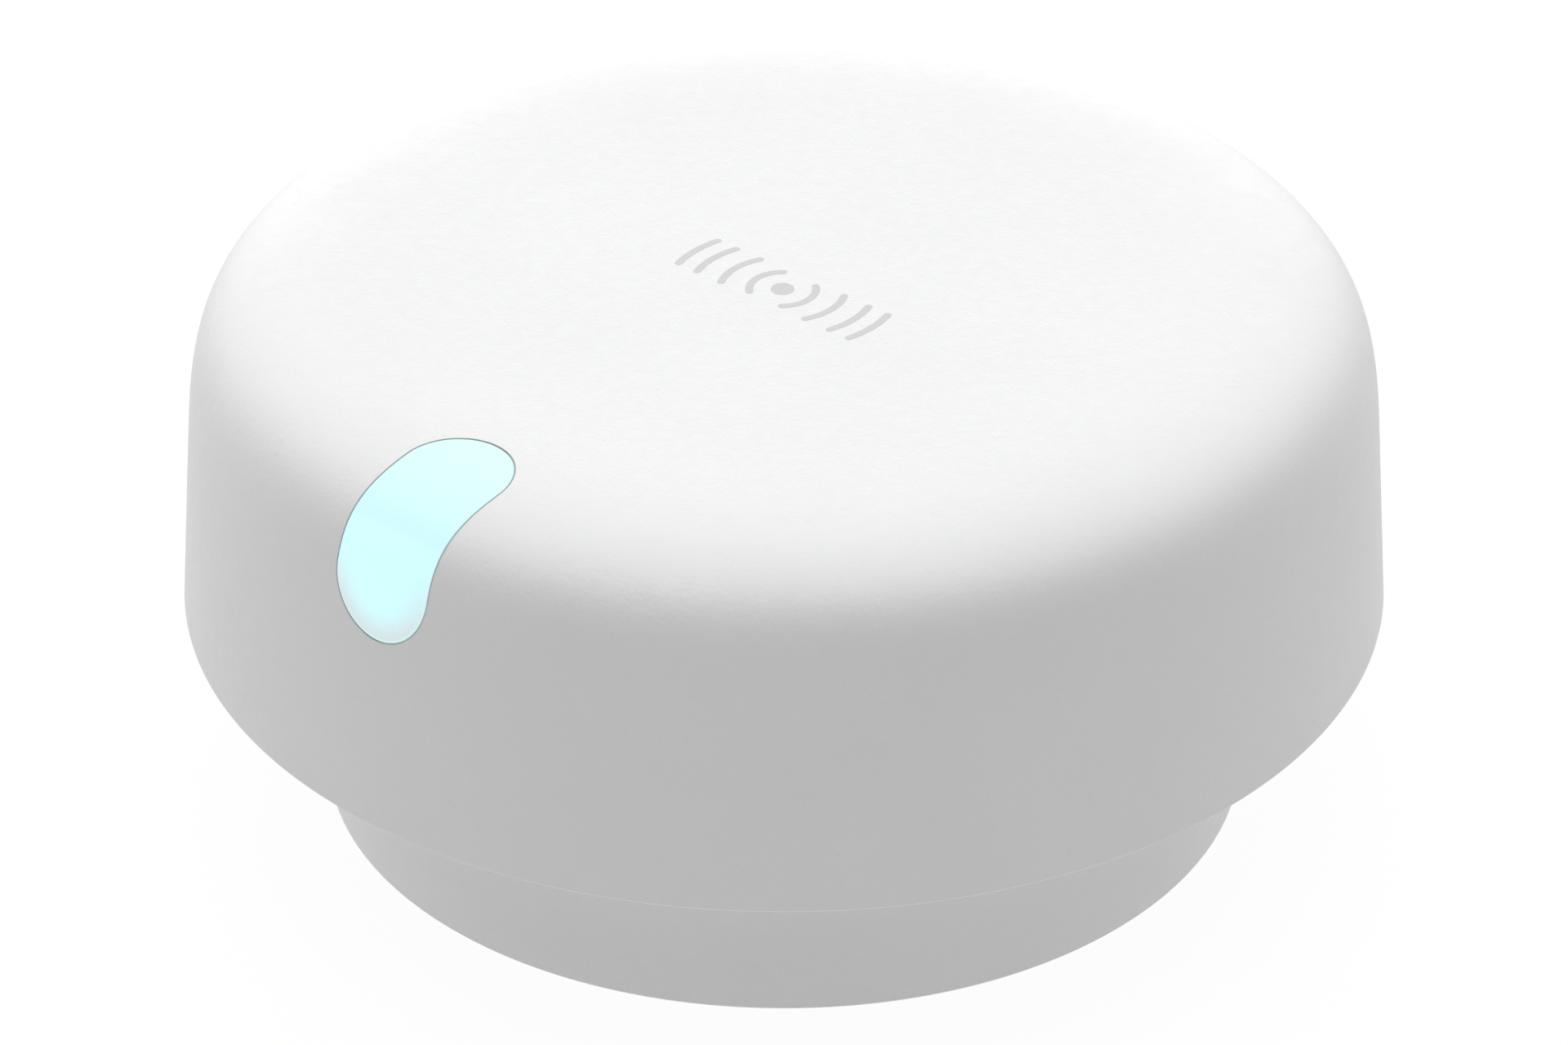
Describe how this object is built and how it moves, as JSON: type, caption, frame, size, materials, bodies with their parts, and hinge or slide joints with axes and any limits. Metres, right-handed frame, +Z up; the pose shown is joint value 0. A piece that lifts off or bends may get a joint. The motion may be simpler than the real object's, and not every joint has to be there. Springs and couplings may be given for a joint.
{
  "type": "room presence sensor",
  "caption": "Drum-shaped room presence sensor with an illuminated push button let into its top edge, on a round magnetic foot that swivels and folds out on a hinge.",
  "frame": {"origin": "centre of the underside of the folded foot", "axes": "+Z up, out through the flat sensing face; +Y from the axis towards the button; +X to the right of the button as the face is read with the button at the top"},
  "size_m": [0.064, 0.064, 0.0295],
  "materials": {
    "housing_plastic": "fine spark-eroded texture, white",
    "cover_plastic": "fine spark-eroded texture, white",
    "stand_plastic": "fine spark-eroded texture, white",
    "lens": "translucent, lit cyan from behind",
    "light_guide": "milky translucent",
    "reflector_plastic": "bright white reflector",
    "clear_silicone": "translucent silicone",
    "grey_plastic": "glass-filled, satin",
    "black_plastic": "moulded, satin",
    "ivory_plastic": "moulded, satin",
    "glide_plastic": "slippery acetal",
    "circuit_board": "solder mask over copper",
    "radar_board": "high-frequency laminate, solder mask",
    "ribbon": "polyimide film",
    "thermal_pad": "soft filled silicone",
    "seal_rubber": "moulded silicone",
    "foot_rubber": "matt gel pad",
    "ferrite": "pressed powder",
    "capacitor": "ceramic body",
    "gold": "immersion gold",
    "aluminium": "die cast, bead blasted",
    "bright_metal": "nickel-plated sheet",
    "steel": "zinc-plated",
    "spring_steel": "hardened, bright",
    "steel_plate": "zinc-plated sheet",
    "magnet": "nickel-plated magnet"
  },
  "bodies": {
    "foot": {"foot_shell": "stand_plastic", "foot_bottom_plate": "steel_plate", "foot_pad": "foot_rubber", "foot_magnets": "magnet", "magnet_keeper": "steel_plate", "foot_screws": "steel", "hinge_pin": "steel", "hinge_caps": "stand_plastic"},
    "stand": {"swivel_plate": "stand_plastic", "hinge_washers": "spring_steel", "swivel_wave_washer": "spring_steel"},
    "puck": {"front_housing": "housing_plastic", "rear_cover": "cover_plastic", "housing_seal": "seal_rubber", "case_screws": "steel", "window_gasket": "clear_silicone", "switch_body": "bright_metal", "indicator_board": "circuit_board", "indicator_leds": "ivory_plastic", "light_sensor": "black_plastic", "light_baffle": "reflector_plastic", "button_bracket": "grey_plastic", "bracket_screws": "steel", "button_flex": "ribbon", "flex_connector": "ivory_plastic", "radar_board": "radar_board", "radar_chip": "black_plastic", "radar_support_chips": "black_plastic", "radar_antennas": "gold", "radar_screws": "steel", "heat_spreader": "aluminium", "thermal_pad": "thermal_pad", "board_link_lower": "black_plastic", "board_link_upper": "black_plastic", "main_board": "circuit_board", "main_board_screws": "steel", "wireless_module": "circuit_board", "wireless_shield": "bright_metal", "power_inductor": "ferrite", "board_chips": "black_plastic", "board_capacitors": "capacitor", "usb_shell": "bright_metal", "usb_tongue": "black_plastic", "usb_seal": "seal_rubber", "swivel_glide_washer": "glide_plastic", "swivel_retainer": "steel_plate", "retainer_screws": "steel"},
    "button": {"button_lens": "lens", "button_carrier": "light_guide", "switch_plunger": "black_plastic"}
  },
  "joints": [
    {"name": "stand_tilt", "type": "hinge", "parent": "foot", "child": "stand", "pos_m": [0, -0.0253, 0.007], "axis": [1, 0, 0], "range_deg": [0, 90]},
    {"name": "stand_swivel", "type": "hinge", "parent": "stand", "child": "puck", "pos_m": [0, 0, 0.01], "axis": [0, 0, 1], "continuous": true},
    {"name": "button_press", "type": "slide", "parent": "puck", "child": "button", "axis": [0, -0.7071, -0.7071], "range_m": [0, 0.00035], "stiffness_N_per_m": 5000}
  ]
}
